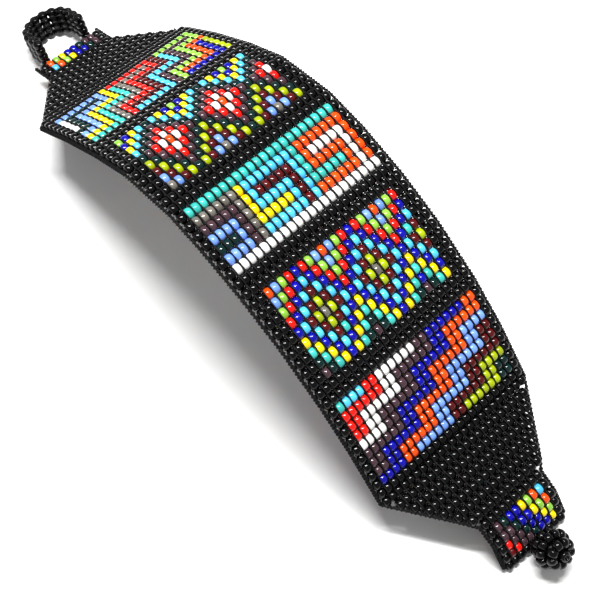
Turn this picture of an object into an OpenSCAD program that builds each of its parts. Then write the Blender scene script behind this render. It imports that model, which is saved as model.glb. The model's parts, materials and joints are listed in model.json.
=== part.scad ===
// Loom-woven beaded wrist band: 76 rows of seed beads on black thread, with a
// beaded ball button at one end and a standing beaded loop at the other.
// +X runs along the band towards the button, +Y across it, +Z up. The origin is on
// the table, midway between the tip of the loop and the outside of the ball. All
// sizes are in millimetres.

/* [Beads] */
// outside diameter of one seed bead
bead_d = 2.0; // [1.5:0.05:2.6]
// length of one seed bead along its hole
bead_l = 1.4; // [1:0.05:2]
// rounding of a bead's rim
bead_r = 0.5; // [0.2:0.05:0.65]
// bead to bead along a row
col_pitch = 1.5; // [1.2:0.05:2.2]
// row to row along the band
row_pitch = 2.1; // [1.6:0.05:2.8]
// beads across the full width
cols = 24; // [12:2:40]
// beads across each end tab
tab_cols = 10; // [8:2:16]

/* [Thread] */
// thickness of one warp thread
warp_d = 0.2; // [0.1:0.05:0.3]
// thickness of the weft bundle inside a row
weft_d = 0.7; // [0.3:0.05:0.8]
// how far the warps lie above and below the middle of the beads
warp_lift = 0.85; // [0.8:0.01:0.9]
// thickness of the whipped edge binding
edge_d = 0.7; // [0.4:0.05:1.2]
// thickness of the thread round each course of the ball
course_d = 0.3; // [0.2:0.05:0.5]

/* [Ball button] */
// outside diameter of the beaded ball
ball_d = 7.8; // [7.6:0.1:9]
// diameter of the plain bead inside the ball
core_d = 3.6; // [2:0.1:3.8]
// space between the tab and the ball
ball_gap = 0.25; // [0.1:0.05:2]
// thickness of the thread shank
shank_d = 0.5; // [0.3:0.05:0.5]
// beads round the middle of the ball
ball_middle = 10; // [8:1:12]
// beads round each course above and below the middle
ball_upper = 7; // [5:1:8]
// how far those courses stand above and below the middle, in degrees
ball_lat = 42; // [35:1:50]
// thread hole through a ball bead
bead_hole = 0.8; // [0.5:0.05:1]

/* [Loop] */
// clear width inside the loop
loop_gap = 8.4; // [8:0.1:12]
// beads in each upright stack of the loop
loop_high = 4; // [2:1:6]
// upright stacks round the loop
loop_stacks = 12; // [8:1:16]

/* [Hidden] */
// rows in each flat group of the band, from the loop end to the button end
rows = [3, 6, 7, 6, 5, 6, 4, 5, 5, 6, 5, 6, 6, 3, 3];
// slope of each group against the table when the band rests, down towards +X
rest = [0, -29, -40, -36, -31, -13, 5, 14, 22, 31, 39, 45, 0, 26, 50];
crown = 6; // the arch peaks where this group starts
last = len(rows) - 1;
// rows of a patterned group that are black right across: [first, last], or none
plain = [[], [], [0, 1], [4, 5], [], [4, 5], [], [3, 4], [], [4, 5], [], [4, 5], [], [], []];
R = bead_d / 2;
slack = 0.02; // room between the loop's end stacks and its legs
clear = 0.05; // room between threads and the beads beside them
warp_in = 0.75; // a warp starts this far past the row its group turns about
warp_out = 0.1; // and stops this far short of the next
shank_out = 0.5; // the shank shows this much past the middle of the pole bead

function glen(k) = rows[k] * row_pitch;
// each group turns about the last row of the group before it; heights and places of
// those rows, counted outwards from the crown
function drop(a, b) = a > b ? 0 : glen(a) * sin(rest[a]) + drop(a + 1, b);
function run(a, b) = a > b ? 0 : glen(a) * cos(rest[a]) + run(a + 1, b);
crown_z = R + drop(crown, last);
crown_x = -run(1, crown - 1);
tab_z = crown_z + drop(1, crown - 1);

// path round the loop in the loop tab's frame: two legs and a half circle
loop_r = loop_gap / 2 + R;
loop_base = row_pitch - R - clear;
loop_cx = loop_base - loop_gap / 2;
leg = loop_gap / 2;
path = 2 * leg + PI * loop_r - 2 * (R + slack);
loop_step = path / (loop_stacks - 1);
function loop_at(d) = d < leg ? [loop_base - d, -loop_r]
    : d > leg + PI * loop_r ? [loop_cx + d - leg - PI * loop_r, loop_r]
    : [loop_cx - loop_r * sin((d - leg) / loop_r * 180 / PI), -loop_r * cos((d - leg) / loop_r * 180 / PI)];

// the loop tab slopes so that the rim of the loop just meets the table
off_apex = loop_stacks % 2 == 0 ? loop_step / 2 / loop_r * 180 / PI : 0;
rim_x = loop_cx - loop_r * cos(off_apex) - R + bead_r;
rim_z = bead_l / 2 - bead_r;
arm = glen(0) - rim_x;
loop_slope = asin((tab_z - bead_r) / norm([arm, rim_z])) - atan(rim_z / arm);
function slope(k) = k == 0 ? -loop_slope : rest[k];
function from_crown_x(k) = k >= crown ? run(crown, k - 1)
    : k == 0 ? crown_x - glen(0) * cos(loop_slope) : -run(k, crown - 1);
function start_z(k) = k >= crown ? crown_z - drop(crown, k - 1)
    : k == 0 ? tab_z - glen(0) * sin(loop_slope) : crown_z + drop(k, crown - 1);

// the ball stands over the gap between the last two rows of the button tip
ball_x = 2.5 * row_pitch;
ball_z = R + ball_gap + ball_d / 2;
course_r = ball_d / 2 - R;

// the origin lies midway between the tip of the loop and the outside of the ball
rim_top = (loop_high - 1) * col_pitch + rim_z;
min_x = from_crown_x(0) + rim_x * cos(loop_slope) - rim_top * sin(loop_slope) - bead_r;
max_x = from_crown_x(last) + ball_x * cos(rest[last]) + ball_z * sin(rest[last]) + ball_d / 2;
function start_x(k) = from_crown_x(k) - (min_x + max_x) / 2;

// beads in row i of group k: full width, a taper of one bead a side each row, or a tab
function beads_in(k, i) = k == 0 || k >= last - 1 ? tab_cols
    : k == 1 ? tab_cols + 2 + 2 * i
    : k == last - 2 ? cols - 2 - 2 * i : cols;
// black beads at each side of a patterned row: [left, right]
function border(k) = k == 4 || k == 5 || k == 8 || k == 9 ? [2, 2] : [1, 1];

BLACK = [0.06, 0.06, 0.07];
THREAD = [0.10, 0.10, 0.11];
CORE = [0.06, 0.045, 0.035];

// group k's own frame: x along the band from the row it turns about, y across, z outwards
module place(k) translate([start_x(k), 0, start_z(k)]) rotate([0, slope(k), 0]) children();

// half outline of one bead, its hole along Y
module bead_half(y) translate([0, y]) {
    translate([0, -bead_l / 2 + bead_r]) square([R, bead_l - 2 * bead_r]);
    translate([0, -bead_l / 2]) square([R - bead_r, bead_l]);
    for (s = [-1, 1]) translate([R - bead_r, s * (bead_l / 2 - bead_r)]) circle(bead_r, $fn = 24);
}

// n beads in a line along Z on one weft, centred
module strand(n) rotate_extrude($fn = 24) intersection() {
    translate([0, -n * col_pitch]) square([R + 1, 2 * n * col_pitch]);
    union() {
        for (j = [0 : n - 1]) bead_half((j - (n - 1) / 2) * col_pitch);
        if (n > 1) translate([0, -(n - 1) * col_pitch / 2]) square([weft_d / 2, (n - 1) * col_pitch]);
    }
}

// one row of beads: from column a to column b of n, across the band at x
module row_part(x, n, a, b) translate([x, ((a + b) / 2 - (n - 1) / 2) * col_pitch, 0])
    rotate([90, 0, 0]) strand(b - a + 1);

module full_rows(k) for (i = [0 : rows[k] - 1])
    row_part((i + 1) * row_pitch, beads_in(k, i), 0, beads_in(k, i) - 1);

function is_plain(k, i) = len(plain[k]) > 0 && i >= plain[k][0] && i <= plain[k][1];

// the black beads of a patterned group: its plain rows, and the sides of the others
module ground_rows(k) for (i = [0 : rows[k] - 1]) {
    if (is_plain(k, i)) row_part((i + 1) * row_pitch, cols, 0, cols - 1);
    else {
        row_part((i + 1) * row_pitch, cols, 0, border(k)[0] - 1);
        row_part((i + 1) * row_pitch, cols, cols - border(k)[1], cols - 1);
    }
}

module motif_rows(k) for (i = [0 : rows[k] - 1]) if (!is_plain(k, i))
    row_part((i + 1) * row_pitch, cols, border(k)[0], cols - 1 - border(k)[1]);

// warps above and below the beads, and the bound edges; skip leaves out the middle warp
module threads(k, skip) {
    n0 = beads_in(k, 0);
    n1 = beads_in(k, rows[k] - 1);
    wide = max(n0, n1) / 2;
    for (b = [1 - wide : wide - 1]) if (!(skip && b == 0)) {
        first = n1 > n0 ? max(0, abs(b) - n0 / 2 + 1) : 0;
        final = n0 > n1 ? min(rows[k] - 1, n0 / 2 - abs(b) - 1) : rows[k] - 1;
        x0 = first * row_pitch + warp_in;
        x1 = (final + 1) * row_pitch - warp_out;
        for (s = [-1, 1]) translate([x0, b * col_pitch, s * warp_lift])
            rotate([0, 90, 0]) cylinder(h = x1 - x0, d = warp_d, $fn = 16);
    }
    turn = n0 == n1 ? 0 : atan((n1 - n0) / 2 * col_pitch / ((rows[k] - 1) * row_pitch));
    nx = -sin(turn);
    ny = cos(turn);
    off = abs(nx) * (R - bead_r) + ny * (bead_l / 2 - bead_r) + bead_r + edge_d / 2 + clear;
    // the binding stops short of its neighbours, which meet it at an angle on a taper, and
    // on the button tab it starts clear of the wider row that it hangs from
    x0 = k == last - 1 ? R + 3 * clear : turn == 0 ? 6 * clear : 11 * clear;
    x1 = glen(k) - (turn == 0 ? clear : 6 * clear);
    mid = (x0 + x1) / 2;
    y_mid = (n0 - 1) / 2 * col_pitch + (mid - row_pitch) * tan(turn) + off / ny;
    for (s = [-1, 1]) translate([mid, s * y_mid, 0]) rotate([0, 0, s * turn]) rotate([0, 90, 0])
        cylinder(h = (x1 - x0) / cos(turn), d = edge_d, center = true, $fn = 24);
}

module loop_beads() color(BLACK) place(0) for (j = [0 : loop_stacks - 1])
    translate(concat(loop_at(R + slack + j * loop_step), [(loop_high - 1) * col_pitch / 2]))
        strand(loop_high);

// threads that lie in the grooves between the courses of the loop, inside and out
module loop_threads() color(THREAD) place(0) for (h = [0 : loop_high - 2]) for (s = [-1, 1]) {
    rr = loop_r + s * warp_lift;
    translate([loop_cx, 0, (h + 0.5) * col_pitch]) {
        rotate([0, 0, 90]) rotate_extrude(angle = 180, $fn = 48) translate([rr, 0])
            circle(d = warp_d, $fn = 16);
        for (t = [-1, 1]) translate([slack, t * rr, 0]) rotate([0, 90, 0])
            cylinder(h = leg - 2 * clear, d = warp_d, $fn = 16);
    }
}

module ball_place() place(last) translate([ball_x, 0, ball_z]) children();
// one bead with its thread hole open
module bead() rotate_extrude($fn = 24) intersection() {
    translate([bead_hole / 2, -bead_l]) square([R, 2 * bead_l]);
    bead_half(0);
}
module course(n, lat) for (i = [0 : n - 1]) rotate([0, 0, (i + 0.5) * 360 / n])
    translate([course_r * cos(lat), 0, course_r * sin(lat)]) rotate([90, 0, 0]) bead();

module ball_beads() color(BLACK) ball_place() {
    course(ball_middle, 0);
    course(ball_upper, ball_lat);
    course(ball_upper, -ball_lat);
    translate([0, 0, course_r]) bead();
}
module ball_core() color(CORE) ball_place() difference() {
    sphere(d = core_d, $fn = 48);
    cylinder(h = 2 * core_d, d = shank_d + 2 * clear, center = true, $fn = 24);
}
// a shank up through the core and the pole bead, and one thread round each course
module ball_threads() color(THREAD) ball_place() {
    low = -ball_z - R + 2 * clear;
    translate([0, 0, low]) cylinder(h = course_r + shank_out - low, d = shank_d, $fn = 24);
    for (lat = [-ball_lat, 0, ball_lat]) translate([0, 0, course_r * sin(lat)])
        rotate_extrude($fn = 48) translate([course_r * cos(lat), 0]) circle(d = course_d, $fn = 16);
}

module beads_tab_loop() color(BLACK) place(0) full_rows(0);
module beads_taper_loop() color(BLACK) place(1) full_rows(1);
module ground_band1_start() color(BLACK) place(2) ground_rows(2);
module motif_band1_start() color([0.48, 0.64, 0.95]) place(2) motif_rows(2);
module ground_band1_end() color(BLACK) place(3) ground_rows(3);
module motif_band1_end() color([0.85, 0.15, 0.12]) place(3) motif_rows(3);
module ground_band2_start() color(BLACK) place(4) ground_rows(4);
module motif_band2_start() color([0.72, 0.80, 0.10]) place(4) motif_rows(4);
module ground_band2_end() color(BLACK) place(5) ground_rows(5);
module motif_band2_end() color([0.50, 0.10, 0.14]) place(5) motif_rows(5);
module ground_band3_start() color(BLACK) place(6) ground_rows(6);
module motif_band3_start() color([0.28, 0.78, 0.75]) place(6) motif_rows(6);
module ground_band3_end() color(BLACK) place(7) ground_rows(7);
module motif_band3_end() color([0.95, 0.45, 0.10]) place(7) motif_rows(7);
module ground_band4_start() color(BLACK) place(8) ground_rows(8);
module motif_band4_start() color([0.30, 0.70, 0.95]) place(8) motif_rows(8);
module ground_band4_end() color(BLACK) place(9) ground_rows(9);
module motif_band4_end() color([0.10, 0.15, 0.70]) place(9) motif_rows(9);
module ground_band5_start() color(BLACK) place(10) ground_rows(10);
module motif_band5_start() color([0.95, 0.92, 0.88]) place(10) motif_rows(10);
module ground_band5_end() color(BLACK) place(11) ground_rows(11);
module motif_band5_end() color([0.92, 0.35, 0.08]) place(11) motif_rows(11);
module beads_taper_ball() color(BLACK) place(12) full_rows(12);
module beads_tab_ball() color(BLACK) place(13) full_rows(13);
module beads_tip_ball() color(BLACK) place(14) full_rows(14);
module threads_tab_loop() color(THREAD) place(0) threads(0, false);
module threads_taper_loop() color(THREAD) place(1) threads(1, false);
module threads_band1_start() color(THREAD) place(2) threads(2, false);
module threads_band1_end() color(THREAD) place(3) threads(3, false);
module threads_band2_start() color(THREAD) place(4) threads(4, false);
module threads_band2_end() color(THREAD) place(5) threads(5, false);
module threads_band3_start() color(THREAD) place(6) threads(6, false);
module threads_band3_end() color(THREAD) place(7) threads(7, false);
module threads_band4_start() color(THREAD) place(8) threads(8, false);
module threads_band4_end() color(THREAD) place(9) threads(9, false);
module threads_band5_start() color(THREAD) place(10) threads(10, false);
module threads_band5_end() color(THREAD) place(11) threads(11, false);
module threads_taper_ball() color(THREAD) place(12) threads(12, false);
module threads_tab_ball() color(THREAD) place(13) threads(13, false);
module threads_tip_ball() color(THREAD) place(14) threads(14, true);

beads_tab_loop();
beads_taper_loop();
ground_band1_start();
motif_band1_start();
ground_band1_end();
motif_band1_end();
ground_band2_start();
motif_band2_start();
ground_band2_end();
motif_band2_end();
ground_band3_start();
motif_band3_start();
ground_band3_end();
motif_band3_end();
ground_band4_start();
motif_band4_start();
ground_band4_end();
motif_band4_end();
ground_band5_start();
motif_band5_start();
ground_band5_end();
motif_band5_end();
beads_taper_ball();
beads_tab_ball();
beads_tip_ball();
threads_tab_loop();
threads_taper_loop();
threads_band1_start();
threads_band1_end();
threads_band2_start();
threads_band2_end();
threads_band3_start();
threads_band3_end();
threads_band4_start();
threads_band4_end();
threads_band5_start();
threads_band5_end();
threads_taper_ball();
threads_tab_ball();
threads_tip_ball();
loop_beads();
loop_threads();
ball_beads();
ball_core();
ball_threads();
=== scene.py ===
import json
import math
import random
import bpy
import numpy as np
from mathutils import Matrix, Vector


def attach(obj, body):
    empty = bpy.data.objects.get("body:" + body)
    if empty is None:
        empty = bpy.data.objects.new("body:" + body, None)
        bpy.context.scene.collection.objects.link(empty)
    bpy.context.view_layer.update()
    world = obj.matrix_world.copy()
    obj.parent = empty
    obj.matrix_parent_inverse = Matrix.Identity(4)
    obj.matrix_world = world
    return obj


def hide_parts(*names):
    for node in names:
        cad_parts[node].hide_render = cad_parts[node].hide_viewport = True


# Loom-woven beaded wrist band. Working sizes are in millimetres, in each flat group's
# own frame: x along the band from the row it turns about, y across, z outwards.
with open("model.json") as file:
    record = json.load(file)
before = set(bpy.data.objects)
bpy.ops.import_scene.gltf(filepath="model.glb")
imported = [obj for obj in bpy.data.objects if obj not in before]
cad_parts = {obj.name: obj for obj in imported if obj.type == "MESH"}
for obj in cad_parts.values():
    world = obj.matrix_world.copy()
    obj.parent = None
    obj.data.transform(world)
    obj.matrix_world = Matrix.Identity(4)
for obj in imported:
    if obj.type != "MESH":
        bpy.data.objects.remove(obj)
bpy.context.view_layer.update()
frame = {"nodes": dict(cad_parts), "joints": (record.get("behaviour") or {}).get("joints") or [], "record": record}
dice = random.Random(11)
mm = 0.001

weave = {
    "rowPitch": 2.1,
    "colPitch": 1.5,
    "fullWidth": 24,
    "tabWidth": 10,
    "rowsPerGroup": [3, 6, 7, 6, 5, 6, 4, 5, 5, 6, 5, 6, 6, 3, 3],
    "firstRow": -39,
}
bodyNames = ["tab_loop", "taper_loop"]
bodyNames += [f"band{n}_{half}" for n in range(1, 6) for half in ("start", "end")]
bodyNames += ["taper_ball", "tab_ball", "tip_ball"]
rowPitch = weave["rowPitch"]
colPitch = weave["colPitch"]
rowsOf = weave["rowsPerGroup"]
lastGroup = len(rowsOf) - 1


# Each group's place comes from the hinges, and the two end slopes from the mounts.
def groupMatrices():
    hinges = {j["name"]: Vector(j["pos_m"]) for j in frame["joints"]}
    starts = [hinges[f"bend_{k:02d}"] for k in range(1, lastGroup + 1)]
    axes = {m["name"]: m["axis"] for m in frame["record"]["mounts"]}
    slopes = [math.atan2(axes["button_loop"][0], axes["button_loop"][2])]
    for here, there in zip(starts, starts[1:]):
        slopes.append(math.atan2(here.z - there.z, there.x - here.x))
    slopes.append(math.atan2(axes["ball_button"][0], axes["ball_button"][2]))
    back = rowsOf[0] * rowPitch * mm
    along = Vector((math.cos(slopes[0]), 0, -math.sin(slopes[0])))
    starts.insert(0, starts[0] - along * back)
    return [Matrix.Translation(p) @ Matrix.Rotation(s, 4, "Y") for p, s in zip(starts, slopes)]


groupAt = groupMatrices()


def beadsAcross(k, i):
    if k == 0 or k >= lastGroup - 1:
        return weave["tabWidth"]
    if k == 1:
        return weave["tabWidth"] + 2 + 2 * i
    if k == lastGroup - 2:
        return weave["fullWidth"] - 2 - 2 * i
    return weave["fullWidth"]


# Half the woven width of group k at x, counting the row it turns about.
def halfWidth(k, x):
    before = beadsAcross(k - 1, rowsOf[k - 1] - 1) if k else weave["tabWidth"]
    widths = [before] + [beadsAcross(k, i) for i in range(rowsOf[k])]
    return np.interp(x / rowPitch, range(len(widths)), widths) * colPitch / 2


print("frame read,", len(frame["nodes"]), "nodes")

# Colours of the glass by letter: name, colour, kind of glass.
glassColours = {
    "K": ("blackGlass", "030304", "black"),
    "W": ("whiteGlass", "F4F1EC", "opaque"),
    "R": ("redGlass", "F01408", "opaque"),
    "M": ("maroonGlass", "4E0406", "opaque"),
    "O": ("orangeGlass", "FF4A04", "opaque"),
    "Y": ("yellowGlass", "FFD200", "opaque"),
    "C": ("chartreuseGlass", "9CAC03", "opaque"),
    "L": ("palegreenGlass", "8AC43A", "pearl"),
    "Q": ("turquoiseGlass", "38B4AA", "opaque"),
    "S": ("skyGlass", "4CBCF6", "opaque"),
    "P": ("periwinkleGlass", "6E96F2", "opaque"),
    "U": ("royalGlass", "030394", "opaque"),
    "T": ("tealGlass", "01211F", "clear"),
    "B": ("mauveGlass", "402B32", "clear"),
    "V": ("silverGlass", "6C675F", "pearl"),
}


def diamondLetter(row, col, chart):
    step = min(abs(col - c) for c in (-5, 3, 11)) + abs(row - chart["middle"])
    if step < 5:
        return chart["core"][step]
    return chart["above" if row < chart["middle"] else "below"][step - 5]


diamondCharts = [
    {"rows": range(-17, -8), "middle": -13, "core": "OWRBT", "above": "SYUL", "below": "CMPV"},
    {"rows": range(3, 12), "middle": 7, "core": "VCMSU", "above": "RLPO", "below": "YQTB"},
]

# Interlocked hooks, eight beads to a unit: first row, last row, first and last bead.
hookStrokes = {
    0: [(-28, -25, 0, 0), (-25, -25, -4, 0), (-25, -21, -4, -4), (-21, -21, -8, -4)],
    1: [(-27, -24, 1, 1), (-24, -24, -3, 1), (-24, -20, -3, -3), (-20, -20, -8, -3)],
    2: [(-27, -27, 2, 6), (-27, -23, 2, 2), (-23, -23, -2, 2), (-23, -20, -2, -2)],
    3: [(-28, -28, 1, 7), (-28, -26, 7, 7), (-26, -26, 3, 7), (-26, -22, 3, 3),
        (-22, -22, -1, 3), (-22, -20, -1, -1)],
}
hookUnits = {-11: " WTP", -3: "YQVR", 5: "MSBL", 13: "OUC "}
fretRows = {-5: "EFFFFFFF", -4: "EFHHHHHF", -3: "EIIIIIHF", -2: "EEEEEIHF", -1: "IIIIIIHF"}
fretUnits = ["TVPB", "YSSM", "QOOW"]
stairStripes = "QSRWBUOPMCT"
tabStripes = "SOLYUUTBBRM"
# single beads where the maker left the pattern
oddBeads = {(-27, 11): "L", (-24, 11): "C", (9, -4): "Q", (6, 9): "Q", (10, 7): "U", (14, -10): "Q"}


def hookBand():
    cells = {}
    for base, letters in hookUnits.items():
        for part, strokes in hookStrokes.items():
            for top, bottom, left, right in strokes:
                for row in range(top, bottom + 1):
                    for col in range(base + left, base + right + 1):
                        if letters[part] != " " and -10 <= col <= 11:
                            cells[row, col] = letters[part]
    return cells


hookCells = hookBand()


def stairLetter(row, col):
    k = row - 14
    found = 0
    for n in range(len(stairStripes)):
        even = n % 2 == 0
        start = 8 * (n // 2) - (14 if even else 12) - 4 * ((k + (1 if even else 0)) // 2)
        if start <= col:
            found = n
    return stairStripes[found]


def letterAt(row, col):
    if (row, col) in oddBeads:
        return oddBeads[row, col]
    if row in (-39, -38) and -3 <= col <= 4:
        return tabStripes[-38 - row + col + 3]
    if 32 <= row <= 35 and -3 <= col <= 4:
        return tabStripes[row - 32 + 4 - col]
    if (row, col) in hookCells:
        return hookCells[row, col]
    for chart in diamondCharts:
        if row in chart["rows"] and -9 <= col <= 10:
            return diamondLetter(row, col, chart)
    if -10 <= col <= 11:
        if row == -6:
            return "Q"
        if row == 0:
            return "W"
        if row in fretRows:
            letters = fretUnits[(col + 12) // 8]
            return letters["EFIH".index(fretRows[row][(col + 12) % 8])]
        if 14 <= row <= 22:
            return stairLetter(row, col)
    return "K"


def linear(code):
    parts = [int(code[i:i + 2], 16) / 255 for i in (0, 2, 4)]
    return [c / 12.92 if c <= 0.04045 else ((c + 0.055) / 1.055) ** 2.4 for c in parts] + [1]


def newMaterial(name):
    material = bpy.data.materials.new(name)
    material.use_nodes = True
    nodes = material.node_tree.nodes
    return material, nodes, material.node_tree.links, nodes["Principled BSDF"]


def mixColour(nodes, links, factor, first, second):
    mix = nodes.new("ShaderNodeMix")
    mix.data_type = "RGBA"
    for socket, value in ((mix.inputs[0], factor), (mix.inputs[6], first), (mix.inputs[7], second)):
        if isinstance(value, bpy.types.NodeSocket):
            links.new(value, socket)
        else:
            socket.default_value = value
    return mix.outputs[2]


def noiseFrom(nodes, links, scale, detail, low, high):
    place = nodes.new("ShaderNodeTexCoord")
    noise = nodes.new("ShaderNodeTexNoise")
    noise.inputs["Scale"].default_value = scale
    noise.inputs["Detail"].default_value = detail
    spread = nodes.new("ShaderNodeMapRange")
    spread.inputs["To Min"].default_value = low
    spread.inputs["To Max"].default_value = high
    links.new(place.outputs["Object"], noise.inputs["Vector"])
    links.new(noise.outputs["Fac"], spread.inputs["Value"])
    return spread.outputs["Result"], noise.outputs["Fac"]


# Each finish's fourth value sets how far the painted shade at a bead's ends goes towards black.
glassFinish = {
    "black": {"rough": (0.09, 0.17), "shine": 0.24, "metal": 0.0, "paintedShadeDepth": 0.9, "bump": 0.05},
    "opaque": {"rough": (0.12, 0.24), "shine": 0.4, "metal": 0.0, "paintedShadeDepth": 0.8, "bump": 0.08},
    "pearl": {"rough": (0.14, 0.26), "shine": 0.5, "metal": 0.2, "paintedShadeDepth": 0.8, "bump": 0.08},
    "clear": {"rough": (0.08, 0.16), "shine": 0.4, "metal": 0.0, "paintedShadeDepth": 0.9, "bump": 0.05},
}


def glassMaterial(name, code, kind):
    finish = glassFinish[kind]
    material, nodes, links, shader = newMaterial(name)
    colour = linear(code)
    pale = [min(1, c * 1.35 + 0.001) for c in colour[:3]] + [1]
    deep = [c * 0.62 for c in colour[:3]] + [1]
    tone = nodes.new("ShaderNodeAttribute")
    tone.attribute_name = "tone"
    rim = nodes.new("ShaderNodeAttribute")
    rim.attribute_name = "rim"
    body = mixColour(nodes, links, tone.outputs["Fac"], deep, pale)
    cloud = noiseFrom(nodes, links, 900, 3, 0.0, 0.35)[0]
    body = mixColour(nodes, links, cloud, body, colour)
    # Pearl and clear glass get a painted sheen: the colour lightens where the surface turns away from the view.
    if kind in ("pearl", "clear"):
        facing = nodes.new("ShaderNodeLayerWeight")
        facing.inputs["Blend"].default_value = 0.35
        paintedSheen = [min(1, c * 1.2 + 0.14) for c in colour[:3]] + [1]
        if kind == "clear":
            paintedSheen = [min(1, c * 1.4 + 0.004) for c in colour[:3]] + [1]
        turn = nodes.new("ShaderNodeMath")
        turn.operation = "MULTIPLY"
        turn.inputs[1].default_value = 0.55
        links.new(facing.outputs["Facing"], turn.inputs[0])
        body = mixColour(nodes, links, turn.outputs[0], body, paintedSheen)
    # Painted shade: the bead's ends and hole darken towards black by the rim share, where the beads meet their
    # neighbours.
    shade = nodes.new("ShaderNodeMath")
    shade.operation = "MULTIPLY"
    shade.inputs[1].default_value = finish["paintedShadeDepth"]
    links.new(rim.outputs["Fac"], shade.inputs[0])
    body = mixColour(nodes, links, shade.outputs[0], body, [0.004, 0.004, 0.004, 1])
    links.new(body, shader.inputs["Base Color"])
    rough, fine = noiseFrom(nodes, links, 1600, 4, *finish["rough"])
    links.new(rough, shader.inputs["Roughness"])
    bump = nodes.new("ShaderNodeBump")
    bump.inputs["Strength"].default_value = finish["bump"]
    bump.inputs["Distance"].default_value = 0.00006
    links.new(fine, bump.inputs["Height"])
    links.new(bump.outputs["Normal"], shader.inputs["Normal"])
    shader.inputs["Metallic"].default_value = finish["metal"]
    shader.inputs["Specular IOR Level"].default_value = finish["shine"]
    shader.inputs["IOR"].default_value = 1.52
    return material


def threadMaterial():
    material, nodes, links, shader = newMaterial("waxedThread")
    cloud = noiseFrom(nodes, links, 2500, 4, 0.0, 1.0)[0]
    body = mixColour(nodes, links, cloud, linear("020202"), linear("09090A"))
    links.new(body, shader.inputs["Base Color"])
    rough, fine = noiseFrom(nodes, links, 6000, 5, 0.60, 0.85)
    links.new(rough, shader.inputs["Roughness"])
    bump = nodes.new("ShaderNodeBump")
    bump.inputs["Strength"].default_value = 0.5
    bump.inputs["Distance"].default_value = 0.00004
    links.new(fine, bump.inputs["Height"])
    links.new(bump.outputs["Normal"], shader.inputs["Normal"])
    shader.inputs["Specular IOR Level"].default_value = 0.25
    return material


def woodMaterial():
    material, nodes, links, shader = newMaterial("stainedWood")
    place = nodes.new("ShaderNodeTexCoord")
    wave = nodes.new("ShaderNodeTexWave")
    wave.inputs["Scale"].default_value = 700
    wave.inputs["Distortion"].default_value = 6
    links.new(place.outputs["Object"], wave.inputs["Vector"])
    body = mixColour(nodes, links, wave.outputs["Fac"], linear("0C0A09"), linear("2A211C"))
    links.new(body, shader.inputs["Base Color"])
    rough = noiseFrom(nodes, links, 3000, 3, 0.45, 0.65)[0]
    links.new(rough, shader.inputs["Roughness"])
    return material


glass = {letter: glassMaterial(*look) for letter, look in glassColours.items()}
letters = list(glass)
thread = threadMaterial()
wood = woodMaterial()
print("materials made")

# One bead: its outline from the hole outwards as radius and half length, in millimetres.
bead = {
    "sides": 18,
    "outline": [(0.37, 0.40), (0.40, 0.60), (0.52, 0.69), (0.70, 0.675), (0.85, 0.585),
                (0.955, 0.41), (1.00, 0.16)],
    # Shares of painted shade along the outline, darkest at the hole and the end faces where a bead meets its
    # neighbours.
    "rimShade": [1.0, 0.9, 0.55, 0.22, 0.06, 0.0, 0.0],
    "lengthSpread": (0.97, 1.06),
    "widthSpread": (1.04, 1.07),
    "tilt": 0.05,
    "drift": 0.03,
}


def beadTemplate():
    ring = bead["outline"] + [(r, -y) for r, y in reversed(bead["outline"])]
    shade = bead["rimShade"] + bead["rimShade"][::-1]
    points = []
    faces = []
    sides, n = bead["sides"], len(ring)
    for s in range(sides):
        a = 2 * math.pi * s / sides
        for r, y in ring:
            points.append((r * math.cos(a), y, r * math.sin(a)))
        for p in range(n):
            a0, a1 = s * n + p, s * n + (p + 1) % n
            b0, b1 = (s + 1) % sides * n + p, (s + 1) % sides * n + (p + 1) % n
            faces.append((a0, b0, b1, a1))
    return np.array(points), np.array(faces), np.array(shade * sides)


beadPoints, beadFaces, beadShade = beadTemplate()


def newBatch():
    return {"points": [], "faces": [], "slots": [], "tone": [], "rim": [], "count": 0}


def addPoints(batch, points, faces, slot, tone, rim):
    batch["points"].append(points)
    batch["faces"] += [tuple(v + batch["count"] for v in f) for f in faces]
    batch["slots"] += [slot] * len(faces)
    batch["tone"].append(np.full(len(points), tone))
    batch["rim"].append(rim)
    batch["count"] += len(points)


def addBead(batch, centre, axis, letter, size=1.0):
    long = dice.uniform(*bead["lengthSpread"])
    wide = dice.uniform(*bead["widthSpread"])
    lean = Vector([dice.uniform(-1, 1) * bead["tilt"] for _ in range(3)])
    turn = Vector((0, 1, 0)).rotation_difference((Vector(axis) + lean).normalized())
    shape = beadPoints * (wide * size, long * size, wide * size)
    drift = [dice.uniform(-1, 1) * bead["drift"] * s for s in (1, 0.5, 1)]
    place = np.array(centre, float) + drift
    tone = dice.uniform(0.25, 0.75)
    addPoints(batch, shape @ np.array(turn.to_matrix()).T + place, beadFaces.tolist(),
              letters.index(letter), tone, beadShade)


def addTube(batch, path, radius, sides=6, closed=False):
    points = np.array(path, float)
    radii = np.broadcast_to(radius, len(points))
    count = len(points)
    if closed:
        ways = np.roll(points, -1, 0) - np.roll(points, 1, 0)
    else:
        ways = np.gradient(points, axis=0)
    ways /= np.linalg.norm(ways, axis=1)[:, None]
    side = np.cross(ways[0], (0.31, 0.52, 0.79))
    made = []
    for point, way, thick in zip(points, ways, radii):
        side = side - way * side.dot(way)
        side /= np.linalg.norm(side)
        up = np.cross(way, side)
        for s in range(sides):
            a = 2 * math.pi * s / sides
            made.append(point + thick * (math.cos(a) * side + math.sin(a) * up))
    faces = []
    for ring in range(count if closed else count - 1):
        after = (ring + 1) % count
        for s in range(sides):
            t = (s + 1) % sides
            faces.append((ring * sides + s, ring * sides + t, after * sides + t, after * sides + s))
    if not closed:
        faces.append(tuple(range(sides - 1, -1, -1)))
        faces.append(tuple((count - 1) * sides + s for s in range(sides)))
    addPoints(batch, np.array(made), faces, 0, 0.5, np.zeros(len(made)))


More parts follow.
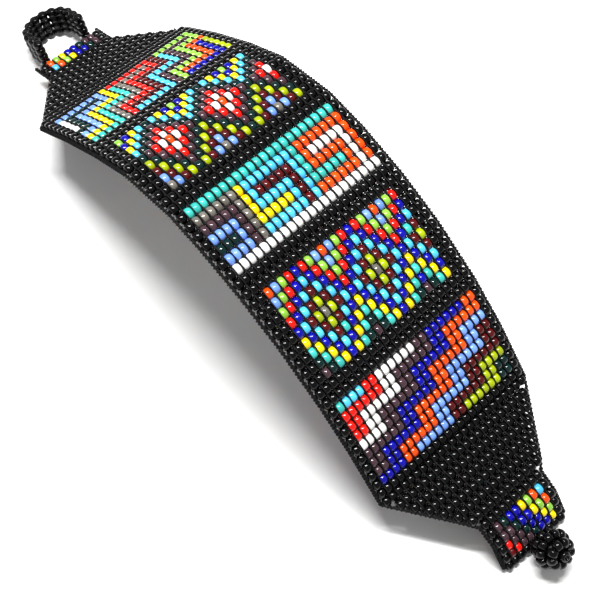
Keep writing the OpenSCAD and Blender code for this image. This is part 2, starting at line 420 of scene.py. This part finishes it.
def makePiece(name, batch, k, replaced, cordMaterial=None):
    points = np.concatenate(batch["points"]) * mm
    turn = np.array(groupAt[k].to_3x3())
    points = points @ turn.T + np.array(groupAt[k].translation)
    mesh = bpy.data.meshes.new(name)
    mesh.from_pydata(points.tolist(), [], batch["faces"])
    if cordMaterial:
        mesh.materials.append(cordMaterial)
    else:
        used = sorted(set(batch["slots"]))
        for n in used:
            mesh.materials.append(glass[letters[n]])
        batch["slots"] = [used.index(n) for n in batch["slots"]]
    mesh.polygons.foreach_set("material_index", batch["slots"])
    mesh.polygons.foreach_set("use_smooth", [True] * len(mesh.polygons))
    for key in ("tone", "rim"):
        layer = mesh.attributes.new(key, "FLOAT", "POINT")
        layer.data.foreach_set("value", np.concatenate(batch[key]).astype(np.float32))
    mesh.update()
    piece = bpy.data.objects.new(name, mesh)
    bpy.context.scene.collection.objects.link(piece)
    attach(piece, bodyNames[k])
    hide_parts(replaced)


def weaveRows():
    row = weave["firstRow"]
    for k, name in enumerate(bodyNames):
        ground, motif = newBatch(), newBatch()
        for i in range(rowsOf[k]):
            across = beadsAcross(k, i)
            for j in range(across):
                col = j - across // 2 + 1
                letter = letterAt(row, col)
                split = name.startswith("band") and letter != "K"
                place = ((i + 1) * rowPitch, (col - 0.5) * colPitch, 0)
                addBead(motif if split else ground, place, (0, 1, 0), letter)
            row += 1
        if name.startswith("band"):
            makePiece(f"groundBeads_{name}", ground, k, f"ground_{name}")
            makePiece(f"motifBeads_{name}", motif, k, f"motif_{name}")
        else:
            makePiece(f"wovenBeads_{name}", ground, k, f"beads_{name}")


weaveRows()
print("rows woven")

threads = {
    # Between the rows the warps are drawn wider than the real thread: partly real black thread, partly a painted
    # shade filling the gaps between beads.
    "warpRadius": (0.16, 0.38),  # over a bead, and spread out between the rows
    "warpThinFrom": 0.5,  # height from which a warp is drawn thin
    "warpHigh": 0.80,
    "warpLow": 0.22,
    "warpPair": 0.18,  # the upper and lower warp stand apart by twice this
    "shoulder": (0.42, 0.92),  # distance from the row, and share of the height there
    "slope": (0.75, 0.62),
    "warpEnd": (0.4, 0.25),  # on a taper: distance from the row, and height
    "lapOver": 0.15,  # a warp ends this far past the last row
    "warpSway": 0.03,
    "weftSway": 0.05,
    "weftOut": 0.1,  # a weft shows this much past its row
    "weftRadius": 0.30,
    "edgeOff": 0.36,
    "edgeRadius": 0.25,
    "wrapRadius": 0.10,
    "wrapReach": 0.36,
    "wrapsPerRow": 3,
}


# The top of warp b over group k, from over the row the group turns about, dipping
# between the rows. On a taper it starts or ends where its bead column does.
def warpPath(k, b):
    n0, n1 = beadsAcross(k, 0), beadsAcross(k, rowsOf[k] - 1)
    first = max(0, abs(b) - n0 // 2 + 1) if n1 > n0 else 0
    final = min(rowsOf[k] - 1, n0 // 2 - abs(b) - 1) if n0 > n1 else rowsOf[k] - 1
    high, low = threads["warpHigh"], threads["warpLow"]
    nearX, nearShare = threads["shoulder"]
    farX, farShare = threads["slope"]
    endX, endHigh = threads["warpEnd"]
    path = []
    if first == 0 and k > 0:
        path += [(0, high), (nearX, high * nearShare), (farX, farShare * high)]
    elif first > 0:
        path.append((first * rowPitch + endX, endHigh))
    for i in range(first, final + 1):
        x = (i + 1) * rowPitch
        if path:
            path += [(x - rowPitch / 2, low), (x - farX, farShare * high)]
        path += [(x - nearX, high * nearShare), (x, high)]
        if i < final:
            path += [(x + nearX, high * nearShare), (x + farX, farShare * high)]
    x = (final + 1) * rowPitch
    if final == rowsOf[k] - 1:
        path.append((x + threads["lapOver"], high))
    else:
        path.append((x + rowPitch - endX, endHigh))
    return path


def edgePoint(k, x, side):
    return np.array((x, side * (halfWidth(k, x) + threads["edgeOff"]), 0))


def bindThreads():
    warpSway, weftSway = threads["warpSway"], threads["weftSway"]
    thinning = (threads["warpLow"], threads["warpThinFrom"])
    for k, name in enumerate(bodyNames):
        batch = newBatch()
        long = rowsOf[k] * rowPitch
        wide = max(beadsAcross(k, 0), beadsAcross(k, rowsOf[k] - 1)) // 2
        for b in range(1 - wide, wide):
            for s in (-1, 1):
                sway = [dice.uniform(-warpSway, warpSway) for _ in range(60)]
                off = b * colPitch + s * threads["warpPair"]
                path = [(x, off + dy, s * z) for (x, z), dy in zip(warpPath(k, b), sway)]
                # drawn thin over the beads, and swollen between the rows wider than the real thread, so that the
                # gaps between beads are filled with dark as painted shade
                heights = [abs(z) for x, y, z in path]
                addTube(batch, path, np.interp(heights, thinning, threads["warpRadius"][::-1]))
        for i in range(rowsOf[k]):
            x = (i + 1) * rowPitch
            reach = beadsAcross(k, i) * colPitch / 2 + threads["weftOut"]
            path = []
            for y in np.linspace(-reach, reach, beadsAcross(k, i) + 1):
                ahead = dice.uniform(-weftSway, weftSway)
                path.append((x + ahead, y, dice.uniform(-weftSway, weftSway)))
            addTube(batch, path, threads["weftRadius"])
        for side in (-1, 1):
            cuts = [j * rowPitch / 2 for j in range(2 * rowsOf[k] + 1)]
            addTube(batch, [edgePoint(k, x, side) for x in cuts], threads["edgeRadius"], 8)
            total = rowsOf[k] * threads["wrapsPerRow"]
            for j in range(total):
                middle = (j + 0.5 + dice.uniform(-0.12, 0.12)) * long / total
                slant = dice.uniform(0.10, 0.22)
                ring = []
                for t in range(10):
                    a = 2 * math.pi * t / 10
                    x = middle + slant * math.sin(a)
                    place = edgePoint(k, x, side)
                    reach = threads["wrapReach"]
                    ring.append(place + (0, reach * math.cos(a), reach * math.sin(a)))
                addTube(batch, ring, threads["wrapRadius"], 5, closed=True)
        makePiece(f"boundThreads_{name}", batch, k, f"threads_{name}", thread)


bindThreads()
print("threads laid")

# The loop stands on the end tab, in upright stacks of beads.
loop = {
    "gap": 8.4,
    "high": 4,
    "stacks": 12,
    "base": rowPitch - 1.05,
    "firstStack": 1.02,  # from the start of the loop to the middle of its first stack
    "stackEnds": (-0.62, 0.72),
    "grooveLift": (0.84, 0.66),  # over a stack, and between two
    "grooveSway": 0.03,
    "rimWave": 0.12,
    "rimLift": (0.06, -0.12),
    "grooveThread": 0.12,
    "coreThread": 0.30,
    "rimThread": 0.2,
}
loopRadius = loop["gap"] / 2 + 1
loopCentre = loop["base"] - loop["gap"] / 2
loopLeg = loop["gap"] / 2
loopPath = 2 * loopLeg + math.pi * loopRadius
loopStep = (loopPath - 2 * loop["firstStack"]) / (loop["stacks"] - 1)


# Place in plan at distance d along the loop, moved outwards by out.
def loopPoint(d, out=0.0):
    if d < loopLeg:
        return loop["base"] - d, -loopRadius - out
    if d > loopPath - loopLeg:
        return loopCentre + d - (loopPath - loopLeg), loopRadius + out
    a = (d - loopLeg) / loopRadius
    return loopCentre - (loopRadius + out) * math.sin(a), -(loopRadius + out) * math.cos(a)


def standLoop():
    beads, cords = newBatch(), newBatch()
    low, over = loop["stackEnds"]
    top = (loop["high"] - 1) * colPitch + over
    start, sway = loop["firstStack"], loop["grooveSway"]
    for j in range(loop["stacks"]):
        x, y = loopPoint(start + j * loopStep)
        for h in range(loop["high"]):
            addBead(beads, (x, y, h * colPitch), (0, 0, 1), "K")
        addTube(cords, [(x, y, low), (x, y, top / 2), (x, y, top)], loop["coreThread"])
    for h in range(loop["high"] - 1):
        for s in (-1, 1):
            path = []
            for j in range(2 * loop["stacks"] - 1):
                x, y = loopPoint(start + j * loopStep / 2, s * loop["grooveLift"][j % 2])
                path.append((x, y, (h + 0.5) * colPitch + dice.uniform(-sway, sway)))
            addTube(cords, path, loop["grooveThread"])
    rim = []
    for j in range(2 * loop["stacks"] - 1):
        x, y = loopPoint(start + j * loopStep / 2, loop["rimWave"] * (-1) ** j)
        rim.append((x, y, top + loop["rimLift"][j % 2]))
    addTube(cords, rim, loop["rimThread"], 8)
    makePiece("loopBeads", beads, 0, "loop_beads")
    makePiece("loopThreads", cords, 0, "loop_threads", thread)


standLoop()

# The ball button: each course is its height in degrees, its beads, and its first bead.
ball = {
    "radius": 3.9,
    "gap": 0.25,
    "alongRows": 2.5,
    "courses": [(0, 12, 0.0), (43, 9, 0.5), (-43, 9, 0.5)],
    "beadSize": 0.98,
    "courseThread": 0.15,
    "shankRadius": 0.25,
    "shankEnds": (0.9, 0.6),  # below the tab's middle, and past the pole bead's middle
    "shankSway": 0.04,
}


def buttonBall():
    beads, cords = newBatch(), newBatch()
    away = ball["radius"] - 1
    centre = np.array((ball["alongRows"] * rowPitch, 0, 1 + ball["gap"] + ball["radius"]))
    for lat, count, shift in ball["courses"]:
        r, h = away * math.cos(math.radians(lat)), away * math.sin(math.radians(lat))
        for j in range(count):
            a = 2 * math.pi * (j + shift) / count
            place = centre + (r * math.cos(a), r * math.sin(a), h)
            addBead(beads, place, (-math.sin(a), math.cos(a), 0), "K", ball["beadSize"])
        turns = [2 * math.pi * t / 40 for t in range(40)]
        hoop = [centre + (r * math.cos(a), r * math.sin(a), h) for a in turns]
        addTube(cords, hoop, ball["courseThread"], 6, closed=True)
    addBead(beads, centre + (0, 0, away), (0, 0, 1), "K", ball["beadSize"])
    low, high = -centre[2] - ball["shankEnds"][0], away + ball["shankEnds"][1]
    sway = ball["shankSway"]
    shank = [centre + (sway * math.sin(3 * t), 0, low + (high - low) * t / 8) for t in range(9)]
    addTube(cords, shank, ball["shankRadius"], 8)
    makePiece("ballBeads", beads, lastGroup, "ball_beads")
    makePiece("ballThreads", cords, lastGroup, "ball_threads", thread)


buttonBall()
core = frame["nodes"]["ball_core"]
core.data.materials.clear()
core.data.materials.append(wood)
print("loop and ball made")

studio = {
    "floorColour": "FBFBFA",
    "worldColour": "FFFFFF",
    "worldStrength": 0.36,
    "lamps": [
        ("keyLamp", (-0.075, 0.035, 0.46), (0.26, 0.045), 4.0),
    ],
    "aim": (0, 0, 0.015),
    "lampAlong": (0.668, 0.743, 0.04),
}


def makeFloor():
    size = 1.5
    mesh = bpy.data.meshes.new("paleFloor")
    corners = [(-size, -size, 0), (size, -size, 0), (size, size, 0), (-size, size, 0)]
    mesh.from_pydata(corners, [], [(0, 1, 2, 3)])
    material, nodes, links, shader = newMaterial("paleFloor")
    cloud = noiseFrom(nodes, links, 30, 2, 0.0, 1.0)[0]
    body = mixColour(nodes, links, cloud, linear(studio["floorColour"]), linear("F4F4F3"))
    links.new(body, shader.inputs["Base Color"])
    shader.inputs["Roughness"].default_value = 0.9
    mesh.materials.append(material)
    floor = bpy.data.objects.new("paleFloor", mesh)
    bpy.context.scene.collection.objects.link(floor)


def makeLamps():
    target = Vector(studio["aim"])
    for name, place, size, power in studio["lamps"]:
        light = bpy.data.lights.new(name, "AREA")
        light.shape = "RECTANGLE"
        light.size, light.size_y = size
        light.energy = power
        lamp = bpy.data.objects.new(name, light)
        lamp.location = place
        back = (Vector(place) - target).normalized()
        side = Vector(studio["lampAlong"]).cross(back).normalized()
        turn = Matrix((side.cross(back), side, back)).transposed()
        lamp.rotation_euler = turn.to_euler()
        bpy.context.scene.collection.objects.link(lamp)
    world = bpy.data.worlds.new("paleWorld")
    world.use_nodes = True
    back = world.node_tree.nodes["Background"]
    back.inputs["Color"].default_value = linear(studio["worldColour"])
    back.inputs["Strength"].default_value = studio["worldStrength"]
    bpy.context.scene.world = world


camera = {
    "place": (0.0706, -0.0688, 0.2132),
    "forward": (-0.2734, 0.2953, -0.9154),
    "up": (-0.6922, 0.6004, 0.4004),
    "lens": 70.8,
}


def makeCamera():
    data = bpy.data.cameras.new("viewCamera")
    data.sensor_width = 36
    data.lens = camera["lens"]
    data.clip_start = 0.01
    back = -Vector(camera["forward"]).normalized()
    right = Vector(camera["up"]).cross(back).normalized()
    up = back.cross(right)
    turn = Matrix((right, up, back)).transposed().to_4x4()
    eye = bpy.data.objects.new("viewCamera", data)
    eye.matrix_world = Matrix.Translation(camera["place"]) @ turn
    bpy.context.scene.collection.objects.link(eye)
    bpy.context.scene.camera = eye


bpy.context.scene.view_settings.view_transform = "Standard"
makeFloor()
makeLamps()
makeCamera()
print("studio set")
